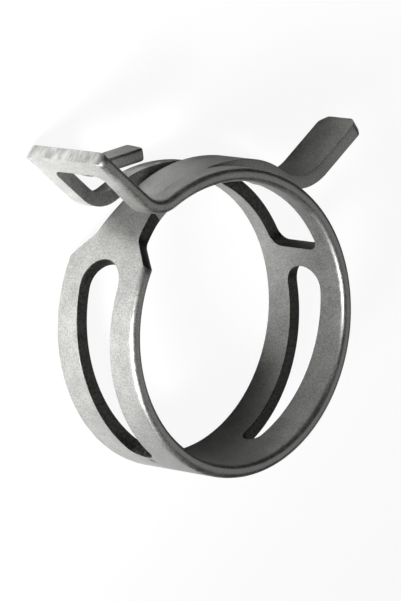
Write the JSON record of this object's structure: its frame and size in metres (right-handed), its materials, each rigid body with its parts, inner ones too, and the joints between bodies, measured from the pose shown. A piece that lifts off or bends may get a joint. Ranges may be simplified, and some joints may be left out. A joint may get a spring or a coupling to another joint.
{
  "type": "spring hose clamp",
  "caption": "Spring band hose clamp of flat steel with tapered relief slots and a tongue through a fork; its two tangs are squeezed to open it over a hose.",
  "frame": {"origin": "on the bore's axis, at the rim the clamp lies on", "axes": "+Z along the bore away from the resting rim; +Y from the bore's axis towards the tangs; the narrow tang is on the +X side and the wide tang on the -X side"},
  "size_m": [0.0425, 0.037, 0.012],
  "materials": {
    "spring_steel": "satin grey plated spring steel"
  },
  "bodies": {
    "root": {"clamp_band": "spring_steel"}
  },
  "joints": []
}
